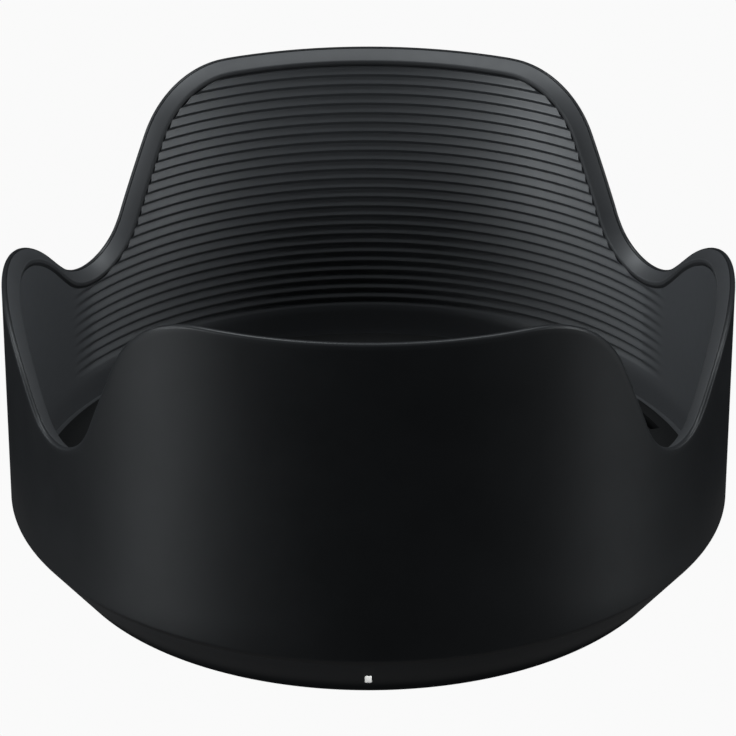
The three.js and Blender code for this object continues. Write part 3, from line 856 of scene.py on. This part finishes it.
def blackened_steel():
    """Oil-blacked screw heads, with bright metal where the driver and edges have rubbed."""
    nodes = Nodes("screw")
    base = np.array(slot_colour("screw"))
    blotch = nodes.noise(0.6, detail=5)
    edges = nodes.scaled(nodes.edge(), 0, 0.7)
    bare_metal = (0.2, 0.2, 0.21)
    worn = nodes.mixed(edges, nodes.mixed(blotch, base * 0.7, base * 1.5), bare_metal)
    bump = nodes.add("Bump", Height=nodes.noise(0.08, detail=3, seed=1), Distance=0.002 * MM)
    return nodes.finish(Base_Color=worn, Metallic=0.8, Roughness=nodes.scaled(blotch, 0.3, 0.5), Normal=bump)


def drawn_steel():
    """Bright spring wire and pin stock, with fine drawing lines."""
    nodes = Nodes("steel")
    base = np.array(slot_colour("steel"))
    streaks = nodes.noise(0.12, detail=6)
    cloud = nodes.noise(1.1, detail=3, seed=1)
    tone = nodes.mixed(cloud, base * 0.8, base * 1.1)
    roughness = nodes.scaled(streaks, 0.2, 0.38)
    bump = nodes.add("Bump", Height=streaks, Distance=0.0015 * MM)
    return nodes.finish(Base_Color=tone, Metallic=1.0, Roughness=roughness, Normal=bump)


def white_paint():
    """Filled paint: slightly uneven in tone and in sheen."""
    nodes = Nodes("mark")
    base = np.array(slot_colour("mark"))
    mottle = nodes.noise(0.5, detail=4)
    tone = nodes.mixed(mottle, base * 0.88, base)
    bump = nodes.add("Bump", Height=nodes.noise(0.15, detail=3, seed=1), Distance=0.004 * MM)
    return nodes.finish(Base_Color=tone, Roughness=nodes.scaled(mottle, 0.4, 0.6), Normal=bump)


# ---------- assembly ----------

shell_plastic = moulded_plastic("shell", 0.4, specular=0.3, inside=(4, 0.45, 0.95))
trim_plastic = moulded_plastic("trim", 0.5, grain=0.003, specular=0.6)
foot_plastic = moulded_plastic("foot", 0.4, specular=0.35)
baffle_plastic = moulded_plastic("baffle", 0.6, edge=0.2, specular=0.3)
button_plastic = moulded_plastic("button", 0.46)
lever_plastic = moulded_plastic("lever", 0.4, grain=0.001)
steel = drawn_steel()
screw_steel = blackened_steel()
mark_plate = softened(mesh_of(mark_solid(0)), 0.06)

piece("petal_shell", shell_mesh(), "hood", shell_plastic, node="hood_shell")
piece("petal_trim", trim_mesh(), "hood", trim_plastic, node="rim_trim")
piece("bayonet_foot", foot_mesh(), "hood", foot_plastic, node="foot_ring")
piece("baffle_ring", baffle_mesh(), "hood", baffle_plastic, node="light_baffle")
piece("painted_mark", mark_plate, "hood", white_paint(), node="index_mark")
piece("release_button", button_mesh(), "button", button_plastic, node="lock_button")
piece("rocking_lever", lever_mesh(), "lever", lever_plastic, node="lock_lever")
piece("pivot_pin", pin_mesh(), "hood", steel, node="lever_pin")
for number, angle in enumerate(SCREW_ANGLES, 1):
    screw_name, screw_node = f"cross_screw_{number}", f"baffle_screw_{number}"
    piece(screw_name, screw_mesh(angle), "hood", screw_steel, node=screw_node)

for letter, sideways in (("a", -SPRING_OFFSET), ("b", SPRING_OFFSET)):
    spring_name, spring_node = f"return_spring_{letter}", f"lock_spring_{letter}"
    spring = piece(spring_name, spring_mesh(sideways), "hood", steel, node=spring_node)
    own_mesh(spring)


# ---------- studio ----------

AIM = Vector((0, 0, 24.31)) * MM
CAMERA_ELEVATION = math.radians(26.39)
CAMERA_DISTANCE = 496.3 * MM
SENSOR = 36
LENS = 186.5                             # focal length
CAMERA_SHIFT = -0.0005                   # sideways, as a share of the sensor's width
PAPER_WHITE = 0.955
FLOOR_REACH = 2400
FLOOR_DROP = 0.02                        # the floor lies this far below the foot, out of its way
GLOW_R = (FOOT_R + 1, 60)                # table_glow's ring
GLOW_STRENGTH = 0.06
SOFTBOX_SIZE = 220
SOFTBOX_DISTANCE = 700
SOFTBOX_TINT = (0.95, 1.0, 1.03)
WHITE = (1.0, 1.0, 1.0)
KICKER_POWER = 4.2
SOFTBOXES = {
    # name: (azimuth from the camera's side, elevation, power in watts)
    "left_bounce": (-66, -25, 0.42),
    "left_side": (-60, 5, 1.57),
    "left_upper": (-90, 25, 1.08),
    "left_overhead": (-90, 72, 2.0),
    "right_bounce": (80, -25, 0.20),
    "right_side": (70, 5, 0.98),
    "right_upper": (90, 25, 0.91),
    "right_overhead": (90, 72, 1.52),
}


def glowing(name, tone, strength):
    nodes = Nodes(name)
    light = nodes.add("Emission", Color=(tone, tone, tone, 1), Strength=strength)
    nodes.add("OutputMaterial", Surface=light)
    return nodes.material


def studio_floor():
    """A pale floor that only the camera sees, so the bounce lights reach the plastic from below its level."""
    x, z = FLOOR_REACH, -FLOOR_DROP
    corners = [(-x, -x, z), (x, -x, z), (x, x, z), (-x, x, z)]
    floor = object_of(mesh_of((corners, [[0, 1, 2, 3]])), "studio_floor")
    floor.data.materials.append(glowing("studio_floor", PAPER_WHITE, 1.0))
    floor.visible_diffuse = False
    floor.visible_glossy = False
    floor.visible_transmission = False
    floor.visible_shadow = False


def table_glow(sides=96):
    """The light that a pale table throws up onto the foot: a ring round it that the camera doesn't see."""
    flat = np.concatenate([circle(radius, sides) for radius in GLOW_R])
    points = np.concatenate([flat, np.full((2 * sides, 1), -FLOOR_DROP / 2)], 1)
    faces = [[i, (i + 1) % sides, sides + (i + 1) % sides, sides + i] for i in range(sides)]
    ring = object_of(mesh_of((points, faces)), "table_glow")
    ring.data.materials.append(glowing("table_glow", 1, GLOW_STRENGTH))
    ring.visible_camera = False


def softbox(name, direction, power, around=AIM, tint=SOFTBOX_TINT):
    """A square lamp that faces back along its direction from the point that it stands around."""
    light = bpy.data.lights.new(name, "AREA")
    light.shape = "SQUARE"
    light.size = SOFTBOX_SIZE * MM
    light.energy = power
    light.color = tint
    made = object_of(light, name)
    made.location = around + direction * SOFTBOX_DISTANCE * MM
    made.rotation_euler = direction.to_track_quat("Z", "Y").to_euler()
    made.visible_camera = False
    return made


def direction_at(azimuth, elevation):
    turn, up = math.radians(azimuth), math.radians(elevation)
    return Vector((math.sin(turn) * math.cos(up), -math.cos(turn) * math.cos(up), math.sin(up)))


def mark_kicker():
    """A low front light that reaches only the white mark, and leaves the black plastic round it dark."""
    kicker = softbox("mark_kicker", direction_at(0, 0), KICKER_POWER, around=Vector((0, 0, 0)), tint=WHITE)
    lit = bpy.data.collections.new("mark_only")
    lit.objects.link(bpy.data.objects["painted_mark"])
    kicker.light_linking.receiver_collection = lit


def studio_world():
    """Pale grey paper where the camera looks past the floor, and black to everything else."""
    world = bpy.data.worlds.new("studio")
    bpy.context.scene.world = world
    world.use_nodes = True
    tree = world.node_tree
    tree.nodes.clear()
    seen = tree.nodes.new("ShaderNodeLightPath")
    strength = tree.nodes.new("ShaderNodeMapRange")
    strength.inputs["To Min"].default_value = 0
    strength.inputs["To Max"].default_value = PAPER_WHITE
    tree.links.new(seen.outputs["Is Camera Ray"], strength.inputs["Value"])
    background = tree.nodes.new("ShaderNodeBackground")
    tree.links.new(strength.outputs[0], background.inputs["Strength"])
    output = tree.nodes.new("ShaderNodeOutputWorld")
    tree.links.new(background.outputs[0], output.inputs["Surface"])


def camera():
    data = bpy.data.cameras.new("camera")
    data.sensor_width = SENSOR
    data.lens = LENS
    data.shift_x = CAMERA_SHIFT
    made = object_of(data, "camera")
    back = Vector((0, -math.cos(CAMERA_ELEVATION), math.sin(CAMERA_ELEVATION)))
    made.location = AIM + back * CAMERA_DISTANCE
    made.rotation_euler = back.to_track_quat("Z", "Y").to_euler()
    bpy.context.scene.camera = made


studio_floor()
table_glow()
for name, (azimuth, elevation, power) in SOFTBOXES.items():
    softbox(name, direction_at(azimuth, elevation), power)
mark_kicker()
studio_world()
camera()
bpy.context.scene.view_settings.view_transform = "Standard"
